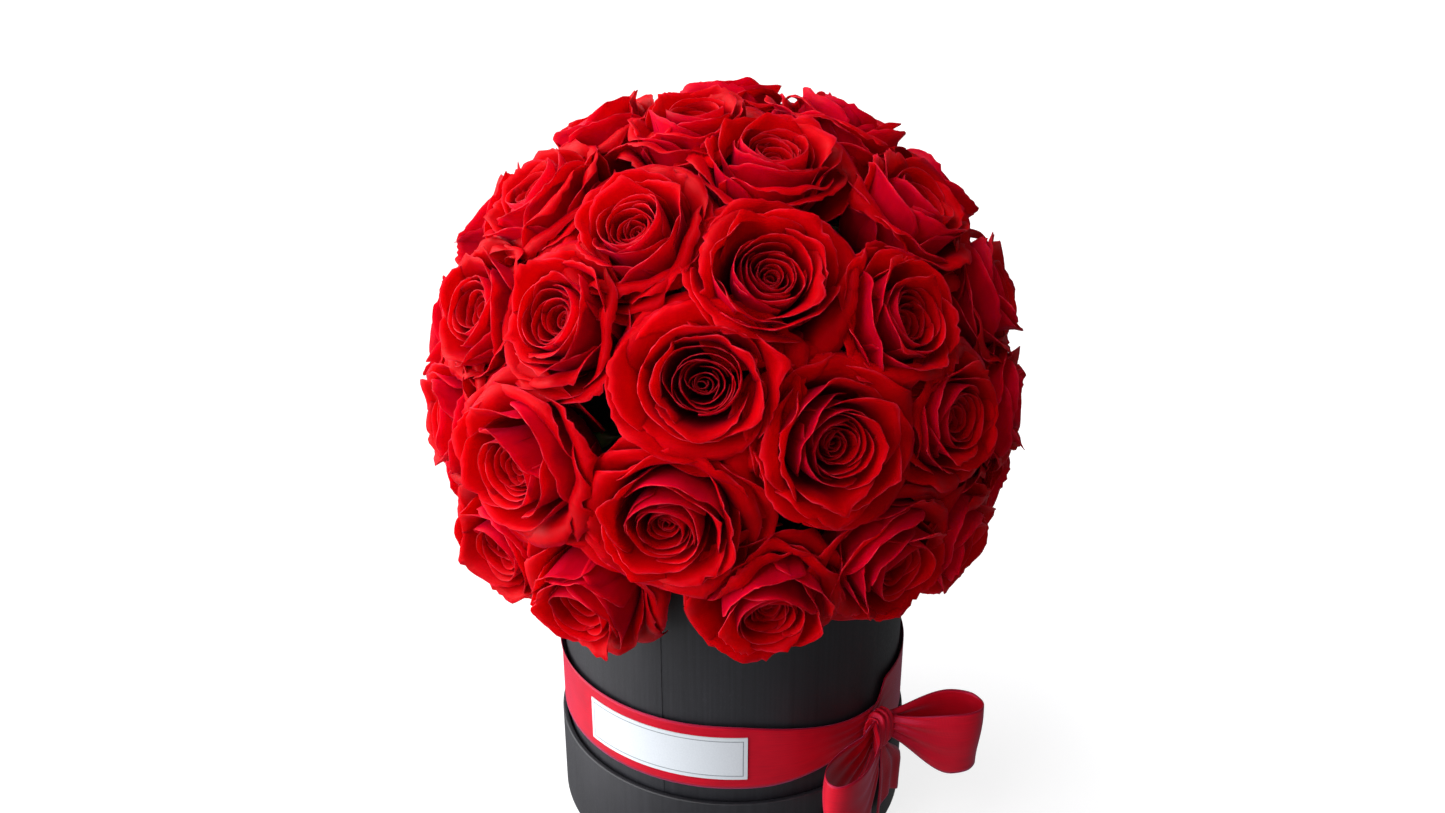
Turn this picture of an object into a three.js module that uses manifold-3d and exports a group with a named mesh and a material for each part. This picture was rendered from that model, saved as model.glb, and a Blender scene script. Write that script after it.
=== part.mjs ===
// Flower box: a round paper hat box that stands in its own upturned lid, tied with a satin
// ribbon, with a label card on the ribbon and a ball of roses set in floral foam.
// Millimetres, +Z up, front towards -Y. The origin is the centre of the face it stands on.

import * as THREE from "three";
import { mergeVertices } from "three/addons/utils/BufferGeometryUtils.js";
import Module from "manifold-3d";

const wasm = await Module();
wasm.setup();

// Driving dimensions -----------------------------------------------------------------------

const gap = 0.3; // clearance between pieces that touch

const lid = { radius: 77.6, thickness: 2, height: 40 };
const box = { rimHeight: 150, wallThickness: 2.5, baseThickness: 2 };
const wrap = { thickness: 0.5, seamAzimuth: -24, seamWidth: 12, seamStep: 0.4 };
const liner = { thickness: 1, belowRim: 4 };
const ribbon = { width: 30, thickness: 0.8, topHeight: 77 };
const label = { thickness: 0.5, height: 20, belowRibbonTop: 5, fromAzimuth: -50, toAzimuth: 4 };
const knot = { azimuth: 48, width: 13, height: 16, depth: 9, centreHeight: 60 };
const loop = { length: 38, bulge: 14, mouth: 2, rightTurn: 42, leftTurn: -82, leftDrop: 12 };
const tail = { length: 44, width: 26, gather: 6, notch: 8, turn: 11, standOff: 1.4 };

// The ball of roses. Every stem points at the centre of the ball, and a rose's distances are
// measured from there along its stem.
const ball = { x: -3, y: 0, height: 192, foamRadius: 70 };
const boreOverrun = 6; // how far a stem's bore is cut past the foam's surface
const rose = {
  stemEnd: 44,
  stemRadius: 2.6,
  hip: 84,
  neck: 90,
  neckRadius: 7,
  flare: 97,
  flareShare: 0.72,
  shoulder: 109,
  lip: 122,
  lipShare: 0.78,
  cup: 115,
  cupShare: 0.3,
  bloomRadius: 27.8,
};

// Azimuth (0 at the front, + towards +X) and elevation in degrees of each rose on the ball,
// from the crown down to the roses that hang over the rim.
const rosePlaces = [
  [-35, 79], [22, 65], [100, 66], [-104, 64], [176, 67],
  [-24, 48], [-66, 49], [9, 40], [63, 46], [106, 40], [142, 42], [-178, 40], [-138, 38],
  [-36, 29], [-5, 21], [38, 28], [-64, 25], [-95, 36], [78, 25],
  [-92, 11], [-118, 13], [-149, 13], [178, 13], [150, 15], [124, 14], [101, 12],
  [47, 8], [18, 9], [-39, 2], [-11, -4], [-66, 1], [74, 1],
  [101, -14], [125, -13], [149, -13], [174, -14], [-161, -14], [-136, -13], [-112, -13],
  [-87, -14],
  [8, -20], [-31, -24], [-59, -23], [56, -21], [33, -16], [80, -20],
];

const ringSegments = 48;
const roseSegments = 8;

// Derived dimensions -----------------------------------------------------------------------

const boxFoot = lid.thickness + gap;
const wrapRadius = lid.radius - lid.thickness - gap - wrap.seamStep;
const wallRadius = wrapRadius - wrap.thickness - gap;
const wallInnerRadius = wallRadius - box.wallThickness;
const linerRadius = wallInnerRadius - gap;
const linerFoot = boxFoot + box.baseThickness + gap;
const linerRim = box.rimHeight - liner.belowRim;
const foamRadius = linerRadius - liner.thickness - gap;
const foamFoot = linerFoot + liner.thickness + gap;
const ribbonInnerRadius = wrapRadius + wrap.seamStep + gap;
const ribbonRadius = ribbonInnerRadius + ribbon.thickness;
const labelRadius = ribbonRadius + gap;
const knotRadius = ribbonRadius + gap;
const ribbonFoot = ribbon.topHeight - ribbon.width;
const ballCentre = new THREE.Vector3(ball.x, ball.y, ball.height);

// Materials --------------------------------------------------------------------------------

function material(color, roughness, metalness = 0) {
  return new THREE.MeshStandardMaterial({ color, roughness, metalness });
}

const blackPaper = material(0x1c1b1e, 0.6);
const greyCard = material(0x77726a, 0.9);
const clearPlastic = material(0xc9d2d0, 0.25);
const wetFoam = material(0x2f5a34, 0.95);
const satin = material(0xb00a2c, 0.35);
const whiteCard = material(0xeceef2, 0.7);
const petal = material(0xb4000a, 0.65);

// Shapes -----------------------------------------------------------------------------------

const object = new THREE.Group();
const baseBody = new THREE.Group();
const boxBody = new THREE.Group();
const arrangementBody = new THREE.Group();
object.add(baseBody, boxBody, arrangementBody);

function addMesh(parent, name, geometry, finish) {
  const mesh = new THREE.Mesh(geometry, finish);
  mesh.name = name;
  parent.add(mesh);
  return mesh;
}

// The horizontal direction at an azimuth, as a unit vector.
function outward(azimuth) {
  const angle = THREE.MathUtils.degToRad(azimuth);
  return new THREE.Vector3(Math.sin(angle), -Math.cos(angle), 0);
}

// A solid turned about +Z from [radius, height] points.
function turned(points, segments) {
  const profile = points.map(([radius, height]) => new THREE.Vector2(radius, height));
  const geometry = new THREE.LatheGeometry(profile, segments);
  geometry.rotateX(Math.PI / 2);
  return geometry;
}

function disc(radius, bottom, top) {
  return turned([[0, bottom], [radius, bottom], [radius, top], [0, top]], ringSegments);
}

function tube(inner, outer, bottom, top) {
  const section = [[inner, bottom], [outer, bottom], [outer, top], [inner, top], [inner, bottom]];
  return turned(section, ringSegments);
}

// An outline in the XY plane, carried up to a thickness along +Z.
function extruded(shape, depth, curveSegments = 12) {
  return new THREE.ExtrudeGeometry(shape, { depth, bevelEnabled: false, curveSegments });
}

// A panel bent round the box between two azimuths.
function bentPanel(inner, thickness, bottom, height, fromAzimuth, toAzimuth) {
  const start = THREE.MathUtils.degToRad(fromAzimuth - 90);
  const end = THREE.MathUtils.degToRad(toAzimuth - 90);
  const shape = new THREE.Shape();
  shape.absarc(0, 0, inner + thickness, start, end, false);
  shape.absarc(0, 0, inner, end, start, true);
  const geometry = extruded(shape, height);
  geometry.translate(0, 0, bottom);
  return geometry;
}

function toSolid(geometry) {
  const bare = geometry.clone();
  bare.deleteAttribute("normal");
  bare.deleteAttribute("uv");
  const merged = mergeVertices(bare, 1e-3);
  const mesh = new wasm.Mesh({
    numProp: 3,
    vertProperties: new Float32Array(merged.attributes.position.array),
    triVerts: new Uint32Array(merged.index.array),
  });
  return new wasm.Manifold(mesh);
}

function toGeometry(solid) {
  const mesh = solid.getMesh();
  const geometry = new THREE.BufferGeometry();
  geometry.setAttribute("position", new THREE.BufferAttribute(mesh.vertProperties, 3));
  geometry.setIndex(new THREE.BufferAttribute(mesh.triVerts, 1));
  geometry.computeVertexNormals();
  return geometry;
}

// Lid, used as a tray ----------------------------------------------------------------------

const lidInnerRadius = lid.radius - lid.thickness;
addMesh(baseBody, "lid_panel", disc(lidInnerRadius - gap, 0, lid.thickness), blackPaper);
addMesh(baseBody, "lid_wall", tube(lidInnerRadius, lid.radius, 0, lid.height), blackPaper);

// Box --------------------------------------------------------------------------------------

const baseTop = boxFoot + box.baseThickness;
addMesh(boxBody, "box_base", disc(wallInnerRadius - gap, boxFoot, baseTop), greyCard);
const wallTube = tube(wallInnerRadius, wallRadius, boxFoot, box.rimHeight);
addMesh(boxBody, "box_wall", wallTube, greyCard);

// The wrap is one turn of paper whose end laps over its start, so a strip of it is double.
function wrapSleeve() {
  const halfSeam = wrap.seamWidth / wrapRadius / 2;
  const middle = THREE.MathUtils.degToRad(wrap.seamAzimuth - 90);
  const shape = new THREE.Shape();
  const seamRadius = wrapRadius + wrap.seamStep;
  shape.absarc(0, 0, seamRadius, middle - halfSeam, middle + halfSeam, false);
  shape.absarc(0, 0, wrapRadius, middle + halfSeam, middle - halfSeam + 2 * Math.PI, false);
  const hole = new THREE.Path();
  hole.absarc(0, 0, wrapRadius - wrap.thickness, 0, 2 * Math.PI, true);
  shape.holes.push(hole);
  const geometry = extruded(shape, box.rimHeight - boxFoot, ringSegments / 2);
  geometry.translate(0, 0, boxFoot);
  return geometry;
}

addMesh(boxBody, "wrap_paper", wrapSleeve(), blackPaper);

// Ribbon, bow and label --------------------------------------------------------------------

const band = tube(ribbonInnerRadius, ribbonRadius, ribbonFoot, ribbon.topHeight);
addMesh(boxBody, "ribbon_band", band, satin);

const labelBottom = ribbon.topHeight - label.belowRibbonTop - label.height;
const card = bentPanel(
  labelRadius, label.thickness, labelBottom, label.height, label.fromAzimuth, label.toAzimuth,
);
addMesh(boxBody, "label_card", card, whiteCard);

// The knot is a block with rounded corners in plan, on the band.
function knotBlock() {
  const half = knot.width / 2;
  const corner = knot.depth / 3;
  const shape = new THREE.Shape();
  shape.moveTo(0, half);
  shape.lineTo(0, -half);
  shape.lineTo(knot.depth - corner, -half);
  shape.absarc(knot.depth - corner, -half + corner, corner, -Math.PI / 2, 0, false);
  shape.absarc(knot.depth - corner, half - corner, corner, 0, Math.PI / 2, false);
  return extruded(shape, knot.height, 3);
}

const knotCentre = outward(knot.azimuth).multiplyScalar(knotRadius);
const knotMesh = addMesh(boxBody, "ribbon_knot", knotBlock(), satin);
knotMesh.position.set(knotCentre.x, knotCentre.y, knot.centreHeight - knot.height / 2);
knotMesh.rotation.z = THREE.MathUtils.degToRad(knot.azimuth - 90);

// A bow loop in plan is a drop: narrow where it comes out of the knot, round at its far end.
function dropPath(length, bulge, inset) {
  const radius = bulge / 2 - inset;
  const centre = length - bulge / 2;
  const halfMouth = loop.mouth / 2;
  const path = new THREE.Shape();
  path.moveTo(inset, -halfMouth);
  path.quadraticCurveTo(length * 0.4, -radius * 1.1, centre, -radius);
  path.absarc(centre, 0, radius, -Math.PI / 2, Math.PI / 2, false);
  path.quadraticCurveTo(length * 0.4, radius * 1.1, inset, halfMouth);
  path.closePath();
  return path;
}

function bowLoop() {
  const shape = dropPath(loop.length, loop.bulge, 0);
  const hollow = dropPath(loop.length - 3 * ribbon.thickness, loop.bulge, ribbon.thickness);
  shape.holes.push(new THREE.Path(hollow.getPoints(6).slice(0, -1)));
  return extruded(shape, ribbon.width, 6);
}

// Each loop starts just clear of a side of the knot and turns away from the knot's own
// direction by its turn. The left one hangs lower by its drop.
function addLoop(name, turn, drop) {
  const side = Math.sign(turn);
  const across = outward(knot.azimuth + 90).multiplyScalar(side * (knot.width / 2 + 1));
  const forward = outward(knot.azimuth).multiplyScalar(knot.depth / 2);
  const mesh = addMesh(boxBody, name, bowLoop(), satin);
  mesh.position.copy(knotCentre).add(across).add(forward);
  mesh.position.z = ribbonFoot - drop;
  mesh.rotation.z = THREE.MathUtils.degToRad(knot.azimuth + turn - 90);
}

addLoop("bow_loop_right", loop.rightTurn, 0);
addLoop("bow_loop_left", loop.leftTurn, loop.leftDrop);

// A tail lies in a plane that touches the lid's side, gathered under the knot and notched
// at its end. side is 1 for the right tail and -1 for the left.
function tailShape(side) {
  const reach = tail.width / 2;
  const top = -side * knotRadius * Math.tan(THREE.MathUtils.degToRad(tail.turn));
  const points = [
    [top + side * 0.5, 0],
    [top + side * tail.gather, 0],
    [side * reach * 0.7, -tail.length / 3],
    [side * reach, -tail.length],
    [0, -tail.length + tail.notch],
    [-side * reach, -tail.length],
    [top + side * 0.8, -tail.length / 3],
  ];
  const ordered = side > 0 ? points.reverse() : points;
  return new THREE.Shape(ordered.map(([x, y]) => new THREE.Vector2(x, y)));
}

function addTail(name, side) {
  const azimuth = knot.azimuth + side * tail.turn;
  const place = outward(azimuth).multiplyScalar(lid.radius + tail.standOff);
  const geometry = extruded(tailShape(side), ribbon.thickness);
  geometry.rotateX(Math.PI / 2);
  const mesh = addMesh(boxBody, name, geometry, satin);
  mesh.position.set(place.x, place.y, knot.centreHeight - knot.height / 2 - gap);
  mesh.rotation.z = THREE.MathUtils.degToRad(azimuth);
}

addTail("ribbon_tail_left", -1);
addTail("ribbon_tail_right", 1);

// Liner and foam ---------------------------------------------------------------------------

function linerCup() {
  const inner = linerRadius - liner.thickness;
  const floor = linerFoot + liner.thickness;
  const points = [
    [0, linerFoot],
    [linerRadius, linerFoot],
    [linerRadius, linerRim],
    [inner, linerRim],
    [inner, floor],
    [0, floor],
  ];
  return turned(points, ringSegments);
}

addMesh(arrangementBody, "plastic_liner", linerCup(), clearPlastic);

// The stems' directions, one for each rose.
const stemDirections = rosePlaces.map(([azimuth, elevation]) => {
  const rise = THREE.MathUtils.degToRad(elevation);
  const direction = outward(azimuth).multiplyScalar(Math.cos(rise));
  direction.z = Math.sin(rise);
  return direction;
});

// A turned shape moved so that it points along a stem from the centre of the ball.
function alongStem(geometry, direction) {
  const turn = new THREE.Quaternion().setFromUnitVectors(new THREE.Vector3(0, 0, 1), direction);
  geometry.applyQuaternion(turn);
  geometry.translate(ballCentre.x, ballCentre.y, ballCentre.z);
  return geometry;
}

// The foam fills the liner and rises out of it as a ball, with a hole for every stem.
function foamBody() {
  const neckAngle = Math.asin((linerRim - ball.height) / ball.foamRadius);
  const steps = 11;
  const points = [[0, foamFoot], [foamRadius, foamFoot], [foamRadius, linerRim]];
  for (let step = 0; step < steps; step += 1) {
    const angle = THREE.MathUtils.lerp(neckAngle, Math.PI / 2, step / steps);
    const radius = ball.foamRadius * Math.cos(angle);
    points.push([radius, ball.height + ball.foamRadius * Math.sin(angle)]);
  }
  points.push([0, ball.height + ball.foamRadius]);
  let solid = toSolid(turned(points, ringSegments / 2));
  for (const direction of stemDirections) {
    const radius = rose.stemRadius + gap;
    const bottom = rose.stemEnd - gap;
    const top = ball.foamRadius + boreOverrun;
    const bore = turned([[0, bottom], [radius, bottom], [radius, top], [0, top]], roseSegments);
    solid = solid.subtract(toSolid(alongStem(bore, direction)));
  }
  return toGeometry(solid);
}

addMesh(arrangementBody, "floral_foam", foamBody(), wetFoam);

// Roses ------------------------------------------------------------------------------------

// A bloom is as wide as its nearest neighbour leaves room for, up to its full size.
function roomFor(direction) {
  const angles = stemDirections
    .filter((other) => other !== direction)
    .map((other) => other.angleTo(direction));
  const nearest = Math.min(...angles);
  return Math.min(rose.bloomRadius, rose.shoulder * Math.tan(nearest / 2) - gap);
}

// Stem, hip and bloom in one piece: the stem runs into the foam, the bloom opens from the hip
// to its shoulder, closes to the lip and is hollowed to a cup.
function roseBody(bloomRadius) {
  const points = [
    [0, rose.stemEnd],
    [rose.stemRadius, rose.stemEnd],
    [rose.stemRadius, rose.hip],
    [rose.neckRadius, rose.neck],
    [bloomRadius * rose.flareShare, rose.flare],
    [bloomRadius, rose.shoulder],
    [bloomRadius * rose.lipShare, rose.lip],
    [bloomRadius * rose.cupShare, rose.cup],
    [0, rose.cup],
  ];
  return turned(points, roseSegments);
}

stemDirections.forEach((direction, index) => {
  const number = String(index + 1).padStart(2, "0");
  const geometry = alongStem(roseBody(roomFor(direction)), direction);
  addMesh(arrangementBody, `rose_${number}`, geometry, petal);
});

export default object;
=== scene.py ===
# A round black flower box: a hat box standing in its own upturned lid, tied with a crimson
# satin ribbon, with a label card and a ball of red roses on floral foam. Metres, +Z up.
import math

import bmesh
import bpy
import numpy as np
from mathutils import Matrix, Vector, noise


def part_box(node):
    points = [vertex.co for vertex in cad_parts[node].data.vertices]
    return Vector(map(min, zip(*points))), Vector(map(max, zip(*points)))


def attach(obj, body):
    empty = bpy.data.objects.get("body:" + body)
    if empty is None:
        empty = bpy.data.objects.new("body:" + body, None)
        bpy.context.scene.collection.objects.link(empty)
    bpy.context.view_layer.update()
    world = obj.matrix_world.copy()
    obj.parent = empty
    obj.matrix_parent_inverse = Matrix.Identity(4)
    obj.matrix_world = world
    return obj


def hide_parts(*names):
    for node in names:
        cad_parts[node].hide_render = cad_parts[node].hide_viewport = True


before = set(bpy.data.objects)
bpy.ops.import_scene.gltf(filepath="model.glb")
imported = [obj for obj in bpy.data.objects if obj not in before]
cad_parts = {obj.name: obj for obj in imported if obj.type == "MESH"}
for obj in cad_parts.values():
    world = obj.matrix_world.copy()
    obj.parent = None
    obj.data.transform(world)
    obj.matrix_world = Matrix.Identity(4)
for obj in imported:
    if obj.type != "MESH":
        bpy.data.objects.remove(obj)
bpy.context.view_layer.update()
bpy.ops.object.select_all(action="DESELECT")

MM = 0.001
TAU = 2 * math.pi

# Places, from the frame ---------------------------------------------------------------------

_, lid_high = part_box("lid_wall")
panel_low, panel_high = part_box("lid_panel")
box_low, box_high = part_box("box_wall")
base_low, base_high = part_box("box_base")
wrap_low, wrap_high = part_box("wrap_paper")
band_low, band_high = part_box("ribbon_band")
card_low, card_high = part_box("label_card")
knot_low, knot_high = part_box("ribbon_knot")
right_low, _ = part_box("bow_loop_right")
left_low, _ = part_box("bow_loop_left")
tail_low, tail_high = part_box("ribbon_tail_right")
foam_low, foam_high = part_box("floral_foam")
liner_low, liner_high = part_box("plastic_liner")

LID_RADIUS = lid_high.x
LID_WALL = 2 * MM
WRAP_RADIUS = wrap_high.x
WALL_RADIUS = box_high.x
WALL_THICKNESS = 2.5 * MM
LINER_RADIUS = liner_high.x
BAND_RADIUS = band_high.x
RIBBON_WIDTH = 30 * MM
RIBBON_THICKNESS = 0.3 * MM

# Azimuths are in degrees about +Z: 0 at the front, + towards +X.
SEAM_AZIMUTH = -22.5
KNOT_AZIMUTH = 48.0
LABEL_START, LABEL_END = -50.0, 4.0

MERGE_DISTANCE = 0.002 * MM
SOFT_EDGE = math.radians(35)  # faces that meet at less than this are shaded as one surface


# Helpers ------------------------------------------------------------------------------------

def only(piece):
    """Makes a piece the selected, active object."""
    bpy.ops.object.select_all(action="DESELECT")
    piece.select_set(True)
    bpy.context.view_layer.objects.active = piece
    return piece


def apply_modifiers(piece):
    """Applies all of a piece's modifiers, in their order."""
    only(piece)
    for modifier in list(piece.modifiers):
        bpy.ops.object.modifier_apply(modifier=modifier.name)
    return piece


def settle(piece):
    """Puts a piece's place into its mesh, so that its object sits at the origin."""
    only(piece)
    bpy.ops.object.transform_apply(location=True, rotation=True, scale=True)
    return piece


def outward(azimuth):
    """The horizontal direction at an azimuth."""
    angle = math.radians(azimuth)
    return Vector((math.sin(angle), -math.cos(angle), 0))


def smooth_step(value, low, high):
    """0 up to low, 1 from high, and an even S between them."""
    share = np.clip((value - low) / (high - low), 0, 1)
    return share * share * (3 - 2 * share)


def blank_sheet(name, columns, rows):
    """A flat grid, from -1 to 1 each way, that sheets and petals are shaped from."""
    bpy.ops.mesh.primitive_grid_add(x_subdivisions=columns, y_subdivisions=rows, size=2)
    blank = bpy.context.active_object
    blank.name = name
    return blank


def grid_places(blank):
    """u from -1 to 1 across and v from 0 to 1 along, for each vertex of a blank sheet."""
    places = vertex_places(blank)
    return places[:, 0], (places[:, 1] + 1) / 2


def vertex_places(piece):
    """Where a piece's vertices are, one row each."""
    places = np.zeros(len(piece.data.vertices) * 3, np.float32)
    piece.data.vertices.foreach_get("co", places)
    return places.reshape(-1, 3).astype(float)


def reshape(mesh, places):
    """Puts a mesh's vertices at new places."""
    mesh.vertices.foreach_set("co", np.asarray(places, np.float32).ravel())
    mesh.update()


def put_on(piece, finish, slot, body, *nodes):
    """Gives a finished piece its material and its body, and hides the CAD nodes it stands for. slot is
    not used.
    """
    if finish is not None:
        piece.data.materials.clear()
        piece.data.materials.append(finish)
    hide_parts(*nodes)
    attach(piece, body)
    return piece


def weld():
    """Merges the doubles of the mesh in edit mode, and turns its faces outwards."""
    bpy.ops.mesh.select_all(action="SELECT")
    bpy.ops.mesh.remove_doubles(threshold=MERGE_DISTANCE)
    bpy.ops.mesh.normals_make_consistent(inside=False)


def close_holes():
    """Fills every open ring of the active piece with a face."""
    bpy.ops.object.mode_set(mode="EDIT")
    bpy.ops.mesh.select_all(action="SELECT")
    bpy.ops.mesh.fill_holes(sides=0)
    bpy.ops.object.mode_set(mode="OBJECT")


def turned(name, profile, segments=192):
    """A round piece about +Z: a ring extruded from each (radius, height) point to the next."""
    (radius, height), *others = profile
    bpy.ops.mesh.primitive_circle_add(vertices=segments, radius=radius, location=(0, 0, height))
    piece = settle(bpy.context.active_object)
    piece.name = name
    bpy.ops.object.mode_set(mode="EDIT")
    bpy.ops.mesh.select_mode(type="EDGE")
    bpy.ops.mesh.select_all(action="SELECT")
    for next_radius, next_height in others:
        growth = max(next_radius / radius, 1e-6)
        step = (0, 0, next_height - height)
        bpy.ops.mesh.extrude_region_move(TRANSFORM_OT_translate={"value": step})
        bpy.ops.transform.resize(value=(growth, growth, 1), center_override=(0, 0, next_height))
        radius, height = next_radius, next_height
    weld()
    bpy.ops.object.mode_set(mode="OBJECT")
    return piece


def bevelled(piece, width, steps=3):
    """Rounds a piece's sharp edges."""
    bevel = piece.modifiers.new("edges", "BEVEL")
    bevel.width = width
    bevel.segments = steps
    bevel.limit_method = "ANGLE"
    bevel.angle_limit = math.radians(40)
    apply_modifiers(piece)
    bpy.ops.object.shade_smooth_by_angle(angle=SOFT_EDGE)
    return piece


def wall(name, inner, outer, bottom, top, edge):
    """A round wall with its edges rounded."""
    section = [(inner, bottom), (outer, bottom), (outer, top), (inner, top), (inner, bottom)]
    return bevelled(turned(name, section), edge)


def disc(name, radius, bottom, top, edge):
    """A flat round plate with its rim rounded."""
    upper = [(radius, bottom), (radius, top), (radius * 0.5, top), (0, top)]
    lower = [(radius, bottom), (radius * 0.5, bottom), (0, bottom)]
    plate = join_all([turned(name, upper), turned(name, lower)], name)
    bpy.ops.object.mode_set(mode="EDIT")
    weld()
    bpy.ops.object.mode_set(mode="OBJECT")
    return bevelled(plate, edge)


def join_all(pieces, name):
    """Makes several pieces one."""
    bpy.ops.object.select_all(action="DESELECT")
    for piece in pieces:
        piece.select_set(True)
    bpy.context.view_layer.objects.active = pieces[0]
    if len(pieces) > 1:
        bpy.ops.object.join()
    joined = bpy.context.active_object
    joined.name = name
    return joined


def own_copy(piece, name):
    """A copy of a piece with a mesh of its own."""
    copy = piece.copy()
    copy.data = piece.data.copy()
    copy.name = name
    bpy.context.scene.collection.objects.link(copy)
    return copy


def thicken(piece, thickness, rim_slot=0, back_slot=0):
    """Gives a sheet its thickness, half to each side, with its own finish on rim and back."""
    solid = piece.modifiers.new("thickness", "SOLIDIFY")
    solid.thickness = thickness
    solid.offset = 0
    solid.material_offset_rim = rim_slot
    solid.material_offset = back_slot
    return apply_modifiers(piece)


# Materials ----------------------------------------------------------------------------------

class Finish:
    """A material under construction: a Principled shader and short ways to add nodes."""

    def __init__(self, name):
        self.material = bpy.data.materials.new(name)
        self.material.use_nodes = True
        self.tree = self.material.node_tree
        self.shader = self.tree.nodes["Principled BSDF"]

    def node(self, kind, **inputs):
        made = self.tree.nodes.new(kind)
        for name, value in inputs.items():
            self.feed(made.inputs[name.replace("_", " ")], value)
        return made

    def feed(self, socket, value):
        if isinstance(value, bpy.types.NodeSocket):
            self.tree.links.new(value, socket)
        else:
            socket.default_value = value

    def set(self, **inputs):
        for name, value in inputs.items():
            self.feed(self.shader.inputs[name.replace("_", " ")], value)

    def coordinates(self, output="Object"):
        return self.node("ShaderNodeTexCoord").outputs[output]

    def attribute(self, name):
        made = self.node("ShaderNodeAttribute")
        made.attribute_name = name
        return made.outputs["Fac"]

    def mapping(self, vector, scale=(1, 1, 1)):
        return self.node("ShaderNodeMapping", Vector=vector, Scale=scale).outputs["Vector"]

    def noise(self, vector, scale, detail=3.0, roughness=0.55):
        shape = {"Scale": scale, "Detail": detail, "Roughness": roughness}
        return self.node("ShaderNodeTexNoise", Vector=vector, **shape).outputs["Fac"]

    def math(self, operation, first, second=0.0):
        made = self.tree.nodes.new("ShaderNodeMath")
        made.operation = operation
        self.feed(made.inputs[0], first)
        self.feed(made.inputs[1], second)
        return made.outputs[0]

    def ramp(self, value, *stops):
        made = self.node("ShaderNodeValToRGB", Fac=value)
        elements = made.color_ramp.elements
        while len(elements) < len(stops):
            elements.new(0.5)
        for element, (place, colour) in zip(elements, stops):
            element.position = place
            element.color = (*colour, 1)
        return made.outputs["Color"]

    def spread(self, value, low, high, to_low, to_high):
        limits = {"From Min": low, "From Max": high, "To Min": to_low, "To Max": to_high}
        return self.node("ShaderNodeMapRange", Value=value, **limits).outputs["Result"]

    def mix(self, share, first, second):
        made = self.tree.nodes.new("ShaderNodeMix")
        made.data_type = "RGBA"
        self.feed(made.inputs[0], share)
        first_colour, second_colour = made.inputs[6], made.inputs[7]
        for socket, colour in ((first_colour, first), (second_colour, second)):
            plain = isinstance(colour, tuple)
            self.feed(socket, (*colour, 1) if plain else colour)
        return made.outputs[2]

    def scaled(self, colour, share):
        made = self.node("ShaderNodeVectorMath", Vector=colour)
        made.operation = "SCALE"
        self.feed(made.inputs["Scale"], share)
        return made.outputs["Vector"]

    def bump(self, height, strength, distance):
        made = self.node("ShaderNodeBump", Height=height, Strength=strength, Distance=distance)
        self.set(Normal=made.outputs["Normal"])


def petal_finish(name, pink, sheen):
    """Velvet red petals: darker towards the base, as painted shade of the deep cup, and brighter
    towards a thin paler rim, as a painted highlight, with faint veins.
    pink is how much blue is in the red, and sheen how much gloss the velvet has."""
    f = Finish(name)
    uv = f.coordinates("UV")
    parts = f.node("ShaderNodeSeparateXYZ", Vector=uv)
    across, along = parts.outputs["X"], parts.outputs["Y"]
    side = f.math("ABSOLUTE", f.math("SUBTRACT", across, 0.5))
    # painted shade: each face darkens from its rim towards its foot, deep in the cup
    body = f.ramp(
        along,
        (0.0, (0.13, 0.0, 0.3 * pink)),
        (0.4, (0.36, 0.0, 0.4 * pink)),
        (0.75, (0.54, 0.0, 0.8 * pink)),
        (1.0, (0.60, 0.0, pink)),
    )
    veins = f.noise(f.mapping(uv, (22, 2.2, 1)), 1.0, 2.0)
    blotches = f.noise(f.coordinates("Object"), 90.0, 2.0)
    vein_shade = f.spread(veins, 0.3, 0.7, -0.06, 0.06)
    shade = f.math("ADD", vein_shade, f.spread(blotches, 0.3, 0.7, 0.88, 1.12))
    # the tone attribute darkens the inner rings as painted shade, and varies each petal at random
    shade = f.math("MULTIPLY", shade, f.attribute("tone"))
    # painted highlight: a paler band along the top and the upper sides of each rim, in patches
    top_rim_highlight = f.spread(along, 0.965, 1.0, 0.0, 1.0)
    upper = f.spread(along, 0.4, 0.8, 0.0, 1.0)
    side_rim_highlight = f.math("MULTIPLY", f.spread(side, 0.482, 0.5, 0.0, 1.0), upper)
    rim = f.math("POWER", f.math("MAXIMUM", top_rim_highlight, side_rim_highlight), 1.6)
    rim = f.math("MULTIPLY", rim, f.spread(blotches, 0.45, 0.65, 0.0, 0.7))
    coloured = f.mix(rim, body, (0.86, 0.02, 0.05))
    f.set(Base_Color=f.scaled(coloured, shade))
    grain = f.noise(f.coordinates("Object"), 2600.0, 2.0)
    height = f.math("ADD", f.math("MULTIPLY", veins, 0.8), f.math("MULTIPLY", grain, 0.12))
    f.bump(height, 0.25, 0.25 * MM)
    f.set(Roughness=f.spread(grain, 0.3, 0.7, 0.44, 0.56))
    f.set(Specular_IOR_Level=0.08, Specular_Tint=(1.0, 0.06, 0.22, 1.0), Sheen_Weight=sheen)
    f.set(Sheen_Roughness=0.40, Sheen_Tint=(1.0, 0.02, 0.20, 1.0))
    f.set(Subsurface_Weight=0.40, Subsurface_Scale=4.0 * MM)
    f.set(Subsurface_Radius=(1.0, 0.03, 0.03))
    return f.material


def rim_highlight_finish():
    """The cut edge of a petal, a little brighter than its face: a painted highlight, in patches."""
    f = Finish("petal_rim_highlight")
    highlight_specks = f.noise(f.coordinates("Object"), 300.0, 2.0)
    red = f.ramp(highlight_specks, (0.4, (0.42, 0.0, 0.002)), (0.7, (0.86, 0.03, 0.06)))
    f.set(Base_Color=f.scaled(red, f.attribute("tone")))
    f.set(Roughness=0.55, Specular_IOR_Level=0.15, Specular_Tint=(1.0, 0.10, 0.25, 1.0))
    return f.material


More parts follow.
